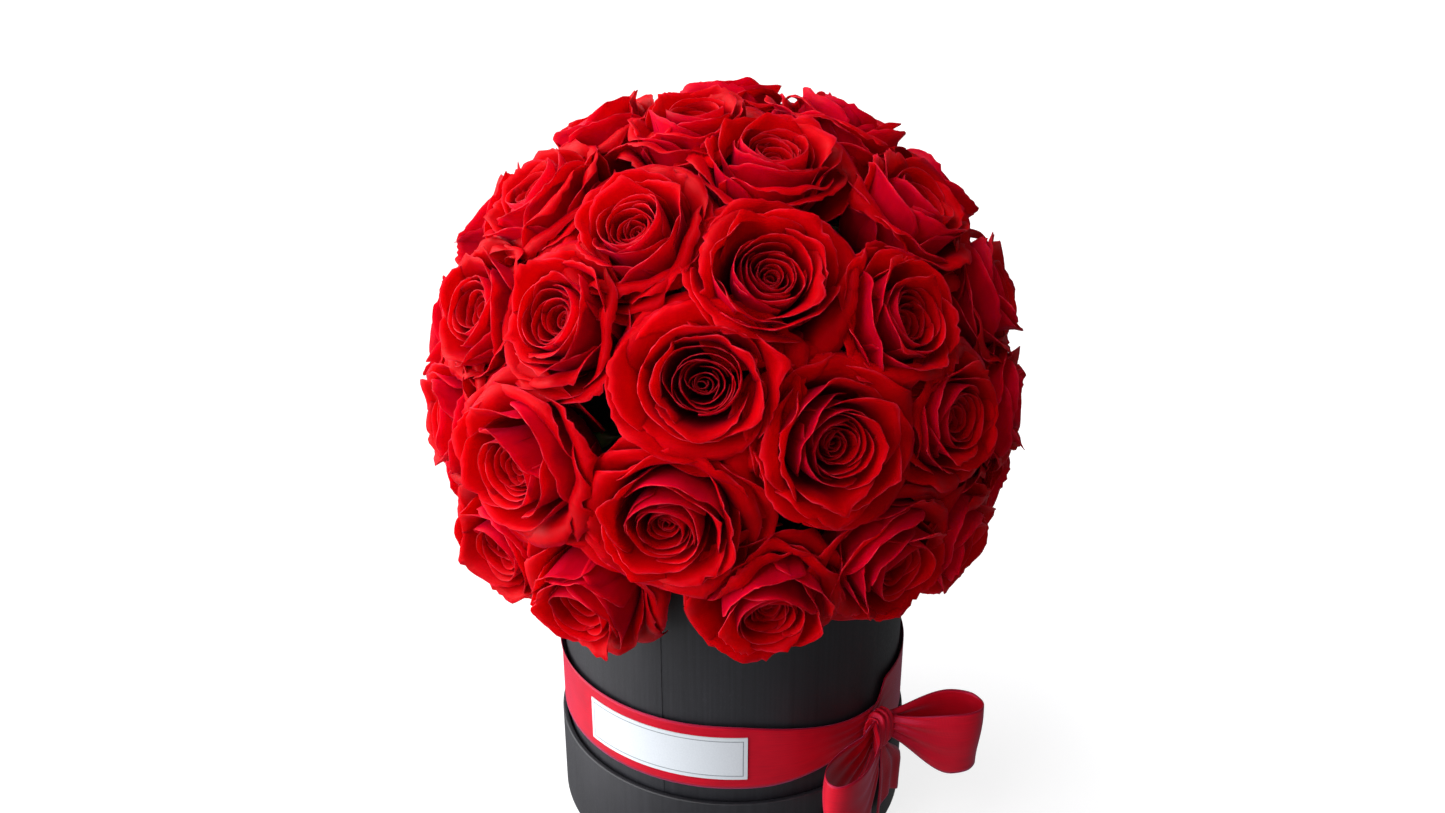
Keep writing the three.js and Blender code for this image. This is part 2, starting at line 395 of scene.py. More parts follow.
def green_finish():
    """Stems, hips and sepals: mid green with darker streaks along them."""
    f = Finish("stem_green")
    places = f.coordinates("Object")
    streaks = f.noise(places, 220.0, 4.0)
    f.set(Base_Color=f.ramp(streaks, (0.3, (0.025, 0.075, 0.012)), (0.7, (0.075, 0.17, 0.03))))
    f.set(Roughness=f.spread(streaks, 0.3, 0.7, 0.42, 0.6))
    f.bump(streaks, 0.3, 0.4 * MM)
    return f.material


def paper_finish():
    """Black wrap paper: fine fibre grain, faintly lighter where it is rubbed."""
    f = Finish("black_wrap_paper")
    places = f.coordinates("Object")
    fibre = f.noise(f.mapping(places, (1, 1, 0.45)), 1500.0, 4.0, 0.65)
    cloud = f.noise(places, 22.0, 3.0)
    brushed = f.noise(f.mapping(places, (1, 1, 0.02)), 700.0, 2.0)
    tone = f.math("ADD", f.math("MULTIPLY", cloud, 0.5), f.math("MULTIPLY", brushed, 0.5))
    colour = f.ramp(tone, (0.35, (0.006, 0.006, 0.009)), (0.65, (0.015, 0.015, 0.020)))
    flecks = f.spread(fibre, 0.55, 0.75, 0.0, 0.35)
    f.set(Base_Color=f.mix(flecks, colour, (0.042, 0.042, 0.050)))
    f.set(Roughness=f.spread(fibre, 0.3, 0.7, 0.44, 0.60), Specular_IOR_Level=0.48)
    f.bump(fibre, 0.28, 0.12 * MM)
    return f.material


def board_finish():
    """Raw grey board, with paper fibres."""
    f = Finish("grey_board")
    places = f.coordinates("Object")
    fibre = f.noise(places, 700.0, 5.0, 0.7)
    f.set(Base_Color=f.ramp(fibre, (0.3, (0.13, 0.125, 0.115)), (0.7, (0.24, 0.23, 0.21))))
    f.set(Roughness=0.9)
    f.bump(fibre, 0.4, 0.2 * MM)
    return f.material


def satin_finish(name, width, length):
    """Crimson satin, for a strip of a width and length in millimetres: fine cross ribs, long
    streaks of gloss, also painted into its colour as lighter and darker bands of sheen, and a
    firmer woven edge."""
    f = Finish(name)
    uv = f.coordinates("UV")
    parts = f.node("ShaderNodeSeparateXYZ", Vector=uv)
    cloth = f.mapping(uv, (width, length, 1))
    ribs = f.node("ShaderNodeTexWave", Vector=cloth, Scale=0.75, Distortion=0.6, Detail=1.0)
    ribs.bands_direction = "Y"
    streaks = f.noise(f.mapping(cloth, (1.6, 0.07, 1)), 1.0, 3.0)
    cloud = f.noise(f.coordinates("Object"), 60.0, 2.0)
    side = f.math("ABSOLUTE", f.math("SUBTRACT", parts.outputs["X"], 0.5))
    edge = f.spread(side, 0.472, 0.478, 0.0, 1.0)
    colour = f.ramp(cloud, (0.3, (0.46, 0.001, 0.007)), (0.7, (0.58, 0.002, 0.011)))
    rib_shade = f.spread(ribs.outputs["Fac"], 0, 1, 0.9, 1.04)
    # painted sheen: the streaks make the colour lighter and darker along the strip
    shade = f.math("MULTIPLY", f.spread(streaks, 0.3, 0.7, 0.88, 1.08), rib_shade)
    f.set(Base_Color=f.mix(edge, f.scaled(colour, shade), (0.32, 0.001, 0.012)))
    f.set(Roughness=f.spread(streaks, 0.3, 0.7, 0.36, 0.46))
    hem = f.math("MULTIPLY", edge, 0.8)
    ridge = f.math("ADD", f.math("MULTIPLY", ribs.outputs["Fac"], 0.6), hem)
    f.bump(f.math("ADD", ridge, f.math("MULTIPLY", streaks, 0.5)), 0.3, 0.12 * MM)
    f.set(Specular_IOR_Level=0.5, Specular_Tint=(1.0, 0.26, 0.60, 1.0))
    f.set(Sheen_Weight=0.26, Sheen_Roughness=0.35, Sheen_Tint=(1.0, 0.36, 0.85, 1.0))
    return f.material


def card_finish():
    """Smooth white card with a faint tooth."""
    f = Finish("white_card")
    places = f.coordinates("Object")
    tooth = f.noise(places, 1800.0, 3.0)
    f.set(Base_Color=f.ramp(tooth, (0.3, (0.60, 0.64, 0.69)), (0.7, (0.65, 0.69, 0.74))))
    f.set(Roughness=0.55)
    f.bump(tooth, 0.12, 0.05 * MM)
    return f.material


def border_finish():
    """The printed grey line round the label."""
    f = Finish("grey_ink")
    tooth = f.noise(f.coordinates("Object"), 900.0, 3.0)
    f.set(Base_Color=f.ramp(tooth, (0.3, (0.20, 0.23, 0.26)), (0.7, (0.27, 0.30, 0.33))))
    f.set(Roughness=0.6)
    return f.material


def foam_finish():
    """Wet floral foam: dark green, crumbly and full of pores, with painted shade in the pores."""
    f = Finish("wet_floral_foam")
    places = f.coordinates("Object")
    pores = f.node("ShaderNodeTexVoronoi", Vector=places, Scale=620.0)
    lumps = f.noise(places, 70.0, 4.0)
    colour = f.ramp(lumps, (0.3, (0.006, 0.016, 0.007)), (0.7, (0.014, 0.034, 0.015)))
    # painted shade: each pore darkens towards its middle
    painted_pore_shade = f.spread(pores.outputs["Distance"], 0.0, 0.5, 0.55, 0.0)
    f.set(Base_Color=f.mix(painted_pore_shade, colour, (0.002, 0.006, 0.003)))
    f.set(Roughness=f.spread(lumps, 0.3, 0.7, 0.65, 0.85))
    f.bump(pores.outputs["Distance"], 0.6, 0.5 * MM)
    return f.material


def liner_finish():
    """Thin milky plastic, with faint flow marks."""
    f = Finish("milky_plastic")
    flow = f.noise(f.mapping(f.coordinates("Object"), (1, 1, 0.3)), 60.0, 3.0)
    f.set(Base_Color=f.ramp(flow, (0.3, (0.50, 0.53, 0.52)), (0.7, (0.55, 0.58, 0.57))))
    f.set(Roughness=f.spread(flow, 0.3, 0.7, 0.28, 0.31), Transmission_Weight=0.15)
    return f.material


FINISHES = {
    "petal": petal_finish("petal_face", 0.002, 0.10),
    "back": petal_finish("petal_back", 0.014, 0.13),
    "rim": rim_highlight_finish(),
    "green": green_finish(),
    "paper": paper_finish(),
    "board": board_finish(),
    "card": card_finish(),
    "ink": border_finish(),
    "foam": foam_finish(),
    "liner": liner_finish(),
}


# Camera, light and floor --------------------------------------------------------------------

CAMERA_PLACE = (-0.0046, -0.4646, 0.373)
CAMERA_LOOKS_DOWN = math.radians(22.4)
CAMERA_LENS = 30  # on a sensor 36 wide, in millimetres
FLOOR_RADIUS = 14


def add_camera():
    bpy.ops.object.camera_add(location=CAMERA_PLACE)
    camera = bpy.context.active_object
    camera.name = "camera"
    camera.rotation_euler = (math.pi / 2 - CAMERA_LOOKS_DOWN, 0, 0)
    camera.data.lens = CAMERA_LENS
    camera.data.sensor_width = 36
    camera.data.clip_start = 0.01
    bpy.context.scene.camera = camera


def add_sun(name, azimuth, elevation, strength, spread):
    """Soft light from an azimuth and an elevation. spread is the angle of sky that it comes
    from. All are in degrees."""
    rise = math.radians(elevation)
    source = outward(azimuth) * math.cos(rise) + Vector((0, 0, math.sin(rise)))
    bpy.ops.object.light_add(type="SUN", location=source)
    light = bpy.context.active_object
    light.name = name
    light.data.energy = strength
    light.data.angle = math.radians(spread)
    light.rotation_euler = (-source).to_track_quat("-Z", "Y").to_euler()


def add_studio():
    """Pale surroundings, three soft lights and a white floor that only the camera sees."""
    world = bpy.data.worlds.new("soft_daylight")
    world.use_nodes = True
    tree = world.node_tree
    background = tree.nodes["Background"]
    background.inputs["Color"].default_value = (0.97, 0.98, 1.0, 1)
    path = tree.nodes.new("ShaderNodeLightPath")
    strength = tree.nodes.new("ShaderNodeMapRange")
    strength.inputs["To Min"].default_value = 0.16  # the light that it casts
    strength.inputs["To Max"].default_value = 1.0  # how bright it is behind the object
    tree.links.new(path.outputs["Is Camera Ray"], strength.inputs["Value"])
    tree.links.new(strength.outputs["Result"], background.inputs["Strength"])
    bpy.context.scene.world = world
    add_sun("window", azimuth=-86, elevation=26, strength=7.1, spread=100)
    add_sun("front_fill", azimuth=-20, elevation=40, strength=0.38, spread=100)
    add_sun("table_bounce", azimuth=-50, elevation=-35, strength=0.5, spread=120)
    bpy.ops.mesh.primitive_circle_add(vertices=96, radius=FLOOR_RADIUS, fill_type="NGON")
    floor = bpy.context.active_object
    floor.name = "floor"
    f = Finish("pale_floor")
    cloud = f.noise(f.coordinates("Object"), 3.0, 2.0)
    f.set(Base_Color=f.ramp(cloud, (0.3, (0.34, 0.34, 0.35)), (0.7, (0.36, 0.36, 0.37))))
    f.set(Roughness=0.7)
    f.set(Emission_Color=(1.0, 1.0, 1.0, 1.0), Emission_Strength=0.80)
    floor.visible_diffuse = False
    floor.visible_glossy = False
    floor.visible_shadow = False
    floor.data.materials.append(f.material)
    bpy.context.scene.view_settings.view_transform = "Standard"


add_camera()
add_studio()


# Roses --------------------------------------------------------------------------------------

# Petals in order from the heart outwards. A pair is for the first and the last petal of a ring.
# radius and height are the rim's, above the foot of the hip, in millimetres. reach is how far
# a petal goes round, to each side of its middle, in degrees. curl, wave and tuck are how far its
# rim rolls back, ripples and slides under the next, in millimetres. rounding, point and ragged
# are how its rim is cut, as shares of its length. flatness is its own bend against the ring's,
# tilt how far it may lean in or out, in radians, and tone how bright it is: the lower tones of
# the inner rings are painted shade of the deep heart.
PETAL_RINGS = (
    {"kind": "heart", "count": 4, "radius": (1.4, 3.1), "height": (27.0, 28.5), "reach": (150, 145),
     "curl": 0.0, "rounding": 0.06, "point": 0.0, "wave": 0.2, "tuck": 0.35, "ragged": 0.01,
     "flatness": 1.0, "tilt": 0.01, "tone": (0.55, 0.6)},
    {"kind": "cup", "count": 13, "radius": (3.7, 11.4), "height": (29.0, 35.0), "reach": (125, 82),
     "curl": 0.5, "rounding": 0.14, "point": 0.02, "wave": 0.55, "tuck": 0.35, "ragged": 0.02,
     "flatness": 1.0, "tilt": 0.03, "tone": (0.65, 0.9)},
    {"kind": "crown", "count": 7, "radius": (13.2, 19.5), "height": (36.0, 33.5), "reach": (80, 62),
     "curl": 2.4, "rounding": 0.22, "point": 0.09, "wave": 1.2, "tuck": 0.8, "ragged": 0.03,
     "flatness": 1.1, "tilt": 0.05, "tone": (0.9, 1.0)},
    {"kind": "guard", "count": 10, "radius": (23.5, 30.0), "height": (31.0, 23.5), "reach": (56, 50),
     "curl": 4.0, "rounding": 0.28, "point": 0.12, "wave": 2.0, "tuck": 1.2, "ragged": 0.035,
     "flatness": 1.35, "tilt": 0.09, "tone": (1.0, 1.0)},
)
GOLDEN_TURN = math.radians(137.5)
GUARD_TURN = math.radians(72 + 7)  # two rounds of five, the second over the first's gaps
PETAL_THICKNESS = 0.28 * MM
SHOULDER = 2.6  # how squarely a petal's rim turns into its sides
WIDEST = 0.62  # how far up a petal is at its widest
LIP_START, LIP_LENGTH = 0.78, 0.22  # the part of a petal that rolls back
HEART_REACH = 12  # the heart sinks within this radius of the axis, in millimetres
POINT_WIDTH, NICK_WIDTH = 0.2, 0.06  # as shares of a petal's half width
TOOTH = 0.009  # how far a rim's fine teeth stand out, as a share of a petal's length
ROSES = 46
FULL_BLOOM = 23.5 * MM  # a large CAD bloom's radius, whose petals are 1.04 times those above
BALL_HEIGHT = 192 * MM
HIP_RISE = 40.0  # from the cut end of a stem to the foot of the hip, in millimetres
TURN_LENGTH, DROOP_LENGTH = 14 * MM, 24 * MM  # how much of a stem's top bends with its head

BLANKS = {
    "heart": blank_sheet("heart_blank", 11, 6),
    "cup": blank_sheet("cup_blank", 12, 8),
    "crown": blank_sheet("crown_blank", 22, 12),
    "guard": blank_sheet("guard_blank", 28, 14),
}


def curve_through(points, share):
    """A cubic Bezier curve's points and directions at each share of its way."""
    first, second, third, fourth = (np.array(point, float) for point in points)
    s = share[:, None]
    left = 1 - s
    place = left**3 * first + 3 * left**2 * s * second + 3 * left * s**2 * third + s**3 * fourth
    way = left**2 * (second - first) + 2 * left * s * (third - second) + s**2 * (fourth - third)
    return place, way / np.linalg.norm(way, axis=1)[:, None]


def side_profile(kind, radius, height):
    """The line that the middle of a petal follows from its foot to its rim: (out, up)."""
    rim = (radius, height)
    if kind in ("heart", "cup"):
        return [(0.35 * radius, 5), (1.05 * radius, 12), (1.12 * radius, 0.78 * height), rim]
    if kind == "crown":
        return [(4.5, 1), (1.00 * radius, 5), (0.90 * radius, 0.72 * height), rim]
    return [(4.5, 0), (0.70 * radius, 4), (0.66 * radius, 0.86 * height), rim]


def petal_places(u, v, ring, step, depth, random):
    """Where each vertex of a blank goes on one petal, in millimetres, about the rose's axis.
    depth is how far the heart sits below the cup."""
    share = step / max(ring["count"] - 1, 1)
    ring_radius = np.interp(share, (0, 1), ring["radius"])
    radius = ring_radius * random.uniform(0.95, 1.06)
    height = np.interp(share, (0, 1), ring["height"]) + random.uniform(-0.7, 0.7)
    height -= depth * np.clip(1 - ring_radius / HEART_REACH, 0, 1)
    reach = math.radians(np.interp(share, (0, 1), ring["reach"]) * random.uniform(0.90, 1.10))
    outer = ring["kind"] in ("crown", "guard")

    # The rim is rounded and slightly ragged. An outer petal has fine teeth, a point and a nick.
    rounding = ring["rounding"] * random.uniform(0.7, 1.3)
    ragged = sum(np.sin(order * u + random.uniform(0, TAU)) / order for order in (3, 5, 9, 14))
    end = 1 - rounding * np.abs(u) ** SHOULDER + ring["ragged"] * ragged
    tip = 0
    if outer:
        teeth = sum(np.sin(order * u + random.uniform(0, TAU)) for order in (19, 27, 37))
        end += TOOTH * teeth * (0.5 + 0.5 * np.sin(4 * u + random.uniform(0, TAU)))
        middle = random.uniform(-0.35, 0.35)
        tip = np.exp(-((np.abs(u - middle) / POINT_WIDTH) ** 1.3)) * random.uniform(0.1, 1.0)
        end += ring["point"] * tip
        nick = random.uniform(-0.8, 0.8)
        end -= random.uniform(0, 0.06) * np.exp(-(((u - nick) / NICK_WIDTH) ** 2))
    way = v * end

    line, heading = curve_through(side_profile(ring["kind"], radius, height), np.clip(way, 0, 1.12))
    out, up = line[:, 0], line[:, 1]
    back_out, back_up = heading[:, 1], -heading[:, 0]

    # Rims roll backwards, and the side margins roll back a little more than the middle.
    lip = np.clip((way - LIP_START) / LIP_LENGTH, 0, 1.3)
    curl = ring["curl"] * random.uniform(0.1, 1.7)
    side_curl = np.where(u < 0, random.uniform(0.2, 1.6), random.uniform(0.2, 1.6))
    margin = np.abs(u) ** SHOULDER * smooth_step(way, 0.35, 0.95) * side_curl
    roll = curl * (0.75 * lip**2 + 0.75 * margin) + random.uniform(0, 2.0) * tip * lip**2

    # Slow waves run along the rim, and one side is tucked under the next petal.
    swell = smooth_step(way, 0.4, 1.0)
    phase = random.uniform(0, TAU)
    slow, middling = np.sin(2.3 * u + phase), 0.5 * np.sin(5.6 * u + 2 * phase)
    waves = slow + middling + 0.25 * np.sin(11 * u + phase)
    roll = roll + ring["wave"] * random.uniform(0.5, 1.2) * waves * swell + ring["tuck"] * u
    out = out + roll * back_out
    up = up + roll * back_up

    # Each petal is wide above its middle and narrow at its foot, and wraps round the heart.
    width = 0.30 + 0.70 * np.sin(np.clip(way / WIDEST, 0, 1) * math.pi / 2)
    bend = np.maximum(out, 1.0) * ring["flatness"]
    if outer:
        turn = u * width * reach * ring_radius / bend
    else:
        turn = u * reach * (0.6 + 0.4 * width)
    side = bend * np.sin(turn)
    ahead = out - bend * (1 - np.cos(turn))
    return np.stack([side, ahead, up], axis=1)


def rose_petals(name, size, random):
    """All the petals of one bloom, about +Z, with the foot of the hip at the origin."""
    petals = []
    heading = random.uniform(0, TAU)
    depth = random.uniform(0, 6.5)
    oval = np.diag((1 + random.uniform(-0.09, 0.09), 1, 1))
    for ring in PETAL_RINGS:
        blank = BLANKS[ring["kind"]]
        u, v = grid_places(blank)
        spacing = GUARD_TURN if ring["kind"] == "guard" else GOLDEN_TURN
        for step in range(ring["count"]):
            heading += spacing + random.uniform(-0.16, 0.16)
            places = petal_places(u, v, ring, step, depth, random)
            sway = Matrix.Rotation(random.uniform(-0.05, 0.05), 3, "Y")
            tilt = Matrix.Rotation(random.uniform(-1, 1) * ring["tilt"], 3, "X")
            turn = Matrix.Rotation(heading, 3, "Z") @ sway @ tilt
            petal = own_copy(blank, "petal")
            reshape(petal.data, places @ np.array(turn).T @ oval * size * MM)
            # each petal's brightness: darker in the inner rings as painted shade, with a random spread
            # per petal
            tone = petal.data.attributes.new("tone", "FLOAT", "POINT")
            shade = np.interp(step / (ring["count"] - 1), (0, 1), ring["tone"])
            shade = shade * random.uniform(0.86, 1.12)
            tone.data.foreach_set("value", np.full(len(places), shade, np.float32))
            petals.append(petal)
    bloom = join_all(petals, name)
    bloom.data.materials.append(FINISHES["petal"])
    bloom.data.materials.append(FINISHES["rim"])
    bloom.data.materials.append(FINISHES["back"])
    thicken(bloom, PETAL_THICKNESS, rim_slot=1, back_slot=2)
    bpy.ops.object.shade_smooth()
    return bloom


def green_foot():
    """Stem, hip and five sepals that bend back, about +Z, with the hip's foot at the origin."""
    stem_radius = 2.4 * MM
    hip_steps = ((1.5, 1.6), (2.5, 1.35), (3.0, 1.0), (1.5, 0.8))  # (rise in mm, growth)
    sepal_width, sepal_length, sepal_count = 3.1, 17, 5
    bpy.ops.mesh.primitive_cylinder_add(
        vertices=12, radius=stem_radius, depth=HIP_RISE * MM, location=(0, 0, -HIP_RISE * MM / 2)
    )
    foot = settle(bpy.context.active_object)
    bpy.ops.object.mode_set(mode="EDIT")
    bpy.ops.mesh.select_mode(type="FACE")
    bpy.ops.mesh.select_all(action="DESELECT")
    shape = bmesh.from_edit_mesh(foot.data)
    for face in shape.faces:
        face.select = face.normal.z > 0.9
    bmesh.update_edit_mesh(foot.data)
    for rise, growth in hip_steps:
        bpy.ops.mesh.extrude_region_move(TRANSFORM_OT_translate={"value": (0, 0, rise * MM)})
        bpy.ops.transform.resize(value=(growth, growth, 1))
    bpy.ops.object.mode_set(mode="OBJECT")
    bpy.ops.object.shade_smooth_by_angle(angle=math.radians(50))
    blank = blank_sheet("sepal_blank", 5, 9)
    u, v = grid_places(blank)
    sepals = []
    for step in range(sepal_count):
        width = sepal_width * np.sin(np.clip(v * 1.15 + 0.18, 0, 1) * math.pi) ** 0.8 + 0.15
        drop = math.radians(18 + 9 * (step % 3))
        out = 4.6 + sepal_length * v * np.cos(drop * v)
        up = 4.0 - sepal_length * v * np.sin(drop * (0.4 + v)) - 1.0 * u**2
        turn = Matrix.Rotation(step * TAU / sepal_count, 3, "Z")
        places = np.stack([u * width, out, up], axis=1) @ np.array(turn).T
        sepal = own_copy(blank, "sepal")
        reshape(sepal.data, places * MM)
        sepals.append(sepal)
    bpy.data.objects.remove(blank)
    leaves = thicken(join_all(sepals, "sepals"), 0.5 * MM)
    bpy.ops.object.shade_smooth()
    foot = join_all([foot, leaves], "green_foot")
    foot.data.materials.append(FINISHES["green"])
    return foot


def stem_axis(node):
    """A rose node's cut end, its direction and its bloom's radius."""
    places = np.unique(np.round(vertex_places(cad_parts[node]), 6), axis=0)
    middle = places.mean(0)
    values, vectors = np.linalg.eigh(np.cov((places - middle).T))
    odd = 0 if abs(values[1] - values[2]) < abs(values[0] - values[1]) else 2
    axis = vectors[:, odd]
    along = (places - middle) @ axis
    around = np.linalg.norm((places - middle) - np.outer(along, axis), axis=1)
    if around[along > 0].max() < around[along < 0].max():
        axis, along = -axis, -along
    foot = middle + axis * along.min()
    return Vector(foot), Vector(axis), around.max()


def lean_head(piece, toward, droop):
    """Bends a bloom over its stem, so that its head faces a direction and hangs by droop."""
    upright = Vector((0, 0, 1))
    hinge = np.array(upright.cross(toward).normalized())
    angle = upright.angle(toward)
    places = vertex_places(piece)
    bend = angle * smooth_step(places[:, 2], -TURN_LENGTH, 0)
    cosine, sine = np.cos(bend)[:, None], np.sin(bend)[:, None]
    along = (places @ hinge)[:, None] * hinge
    hang = np.outer(smooth_step(places[:, 2], -DROOP_LENGTH, 0), np.array(droop))
    reshape(piece.data, places * cosine + np.cross(hinge, places) * sine + along * (1 - cosine) + hang)


# The few roses whose heads turn from their stems, as the (azimuth, elevation) that they face.
HEADS_TURNED = {43: (-40, -14), 42: (-26, -20), 17: (-52, 24), 13: (-142, 47)}
# The lowest heads hang by this many millimetres.
HEADS_DROOPED = {41: 5, 42: 5.5, 43: 3, 44: 3, 45: 5}


def add_rose(number):
    """One rose on its CAD stem. Its number is its seed, so it's the same each time."""
    node = f"rose_{number:02d}"
    random = np.random.default_rng(500 + number)
    foot, axis, bloom_radius = stem_axis(node)
    size = 0.66 + 0.38 * bloom_radius / FULL_BLOOM
    petals = rose_petals(f"{node}_bloom", size, random)
    stem = own_copy(GREEN_FOOT, "stem")
    bloom = join_all([petals, stem], f"{node}_bloom")
    upright = axis.to_track_quat("Z", "Y")
    if number in HEADS_TURNED:
        azimuth, elevation = HEADS_TURNED[number]
        rise = math.radians(elevation)
        facing = outward(azimuth) * math.cos(rise) + Vector((0, 0, math.sin(rise)))
    else:
        facing = (axis + Vector(random.uniform(-0.06, 0.06, 3))).normalized()
    droop = Vector((0, 0, -HEADS_DROOPED.get(number, 0) * MM))
    lean_head(bloom, upright.inverted() @ facing, upright.inverted() @ droop)
    hip = foot + axis * HIP_RISE * MM
    bloom.data.transform(Matrix.Translation(hip) @ upright.to_matrix().to_4x4())
    put_on(bloom, None, "rose_petal", "arrangement", node)


GREEN_FOOT = green_foot()
for rose_number in range(1, ROSES + 1):
    add_rose(rose_number)
for blank in (*BLANKS.values(), GREEN_FOOT):
    bpy.data.objects.remove(blank)


# Foam and liner -----------------------------------------------------------------------------

def add_foam():
    """Wet foam: a block that fills the liner and rises as a rough ball, pressed in at each stem."""
    radius = 69.8 * MM
    dent_depth, dent_width = 2.2 * MM, 3.6 * MM
    coarse, fine = 190, 420  # crumbs to the metre
    ball_radius = foam_high.z - BALL_HEIGHT
    rim = liner_high.z
    profile = [(0.1 * MM, foam_low.z)]
    profile += [(radius * share, foam_low.z) for share in (0.25, 0.5, 0.75, 0.985)]
    profile += [(radius, foam_low.z + share * (rim - foam_low.z)) for share in np.linspace(0.01, 1, 40)]
    start = math.asin((rim - BALL_HEIGHT) / ball_radius)
    for angle in np.linspace(start, math.pi / 2, 56)[1:-1]:
        profile.append((ball_radius * math.cos(angle), BALL_HEIGHT + ball_radius * math.sin(angle)))
    profile.append((0.0, foam_high.z))
    foam = turned("foam_block", profile, segments=144)
    close_holes()
    places = vertex_places(foam)
    centre = np.array((0, 0, BALL_HEIGHT))
    away = places - centre
    above = places[:, 2] > rim - 2 * MM
    crumbs = np.array([noise.noise(Vector(place) * coarse) for place in places])
    crumbs += 0.6 * np.array([noise.noise(Vector(place) * fine) for place in places])
    sink = np.where(above, 0.7 + 0.9 * crumbs, 0.15 + 0.15 * crumbs) * MM
    for number in range(1, ROSES + 1):
        foot, axis, _ = stem_axis(f"rose_{number:02d}")
        reach = np.linalg.norm(np.cross(places - np.array(foot), np.array(axis)), axis=1)
        near = (places - np.array(foot)) @ np.array(axis) > 0
        sink += np.where(near & above, dent_depth * np.exp(-((reach / dent_width) ** 2)), 0)
    reshape(foam.data, places - away / np.linalg.norm(away, axis=1)[:, None] * sink[:, None])
    only(foam)
    bpy.ops.object.shade_smooth()
    put_on(foam, FINISHES["foam"], "floral_foam", "arrangement", "floral_foam")


def add_liner():
    """A thin cup with a rounded foot and a small bead round its rim."""
    outer, rim, foot = LINER_RADIUS, liner_high.z, liner_low.z
    floor = foot + 1.0 * MM
    wall_out, wall_in = outer - 0.15 * MM, outer - 0.95 * MM
    profile = [(0.1 * MM, foot), (outer * 0.5, foot), (outer - 2.6 * MM, foot)]
    profile += [(outer - 1.1 * MM, foot + 0.35 * MM), (outer - 0.35 * MM, foot + 1.1 * MM)]
    profile += [(wall_out, foot + 2.4 * MM), (wall_out, (foot + rim) / 2), (wall_out, rim - 2.2 * MM)]
    profile += [(outer, rim - 1.4 * MM), (outer, rim - 0.5 * MM), (outer - 0.45 * MM, rim)]
    profile += [(wall_in, rim - 0.2 * MM), (wall_in, rim - 1.2 * MM), (wall_in, (foot + rim) / 2)]
    profile += [(wall_in, foot + 2.6 * MM), (outer - 1.6 * MM, foot + 1.4 * MM)]
    profile += [(outer - 2.9 * MM, floor), (outer * 0.5, floor), (0.0, floor)]
    liner = turned("liner_cup", profile)
    close_holes()
    bpy.ops.object.shade_smooth_by_angle(angle=SOFT_EDGE)
    put_on(liner, FINISHES["liner"], "liner_plastic", "arrangement", "plastic_liner")


# Box and lid --------------------------------------------------------------------------------

def add_box():
    """The board wall, the board base and the paper round them."""
    under_paper = 0.75 * MM
    wall_in = WALL_RADIUS - WALL_THICKNESS + 0.05 * MM
    wall_out = WRAP_RADIUS - under_paper
    board = wall("board_wall", wall_in, wall_out, box_low.z, box_high.z - 0.4 * MM, 0.8 * MM)
    put_on(board, FINISHES["board"], "grey_card", "box", "box_wall")
    plate = disc("board_base", base_high.x, base_low.z, base_high.z, 0.3 * MM)
    put_on(plate, FINISHES["board"], "grey_card", "box", "box_base")
    wrap_box(wall_in)


def wrap_box(wall_in):
    """One turn of paper, lapped at the seam and turned in over the rim."""
    thickness = 0.25 * MM
    turn_in = 12 * MM
    seam_lift = 0.24 * MM
    lap_reach, lap_start, lap_end = 20, 16, 7  # degrees before the seam
    half_gap = 0.03  # how far each edge stays from the seam, in degrees
    top = wrap_high.z - thickness / 2
    outer = WRAP_RADIUS - 0.4 * MM - thickness / 2
    inner = wall_in - 0.15 * MM
    profile = [(outer, wrap_low.z), (outer, top - 30 * MM), (outer, top - 1.0 * MM)]
    profile += [(outer - 0.12 * MM, top - 0.45 * MM), (outer - 0.45 * MM, top - 0.12 * MM)]
    profile += [(outer - 1.0 * MM, top), (inner + 0.8 * MM, top), (inner + 0.25 * MM, top - 0.2 * MM)]
    profile += [(inner, top - 0.8 * MM), (inner, top - turn_in)]
    paper = turned("wrap_sleeve", profile, segments=240)
    places = vertex_places(paper)
    azimuth = np.degrees(np.arctan2(places[:, 0], -places[:, 1]))
    radius = np.hypot(places[:, 0], places[:, 1])
    for before in (True, False):
        side = azimuth <= SEAM_AZIMUTH if before else azimuth > SEAM_AZIMUTH
        gap = np.abs(azimuth - SEAM_AZIMUTH)
        column = side & (gap <= gap[side].min() + 0.1)
        azimuth[column] = SEAM_AZIMUTH + (-half_gap if before else half_gap)
    lapped = (azimuth < SEAM_AZIMUTH) & (azimuth > SEAM_AZIMUTH - lap_reach)
    lapped &= radius > outer - 0.6 * MM
    rise = smooth_step(azimuth, SEAM_AZIMUTH - lap_start, SEAM_AZIMUTH - lap_end)
    radius += np.where(lapped, seam_lift * rise, 0)
    turn = np.radians(azimuth)
    reshape(paper.data, np.stack([radius * np.sin(turn), -radius * np.cos(turn), places[:, 2]], axis=1))
    thicken(paper, thickness)
    bpy.ops.object.shade_smooth_by_angle(angle=SOFT_EDGE)
    put_on(paper, FINISHES["paper"], "black_paper", "box", "wrap_paper")


def add_lid():
    """The lid, upside down: a wall whose mouth is lined a third of the way down, and a panel."""
    inner = LID_RADIUS - LID_WALL
    top = lid_high.z
    lining = 0.12 * MM
    section = [(inner, 0), (LID_RADIUS, 0), (LID_RADIUS, top * 0.5), (LID_RADIUS, top)]
    section += [(inner - lining, top), (inner - lining, top * 0.66), (inner, top * 0.655), (inner, 0)]
    rim = bevelled(turned("lid_rim", section), 0.6 * MM, steps=4)
    put_on(rim, FINISHES["paper"], "black_paper", "lid", "lid_wall")
    plate = disc("lid_plate", panel_high.x, panel_low.z, panel_high.z, 0.4 * MM)
    put_on(plate, FINISHES["paper"], "black_paper", "lid", "lid_panel")


# Ribbon, bow and label ----------------------------------------------------------------------

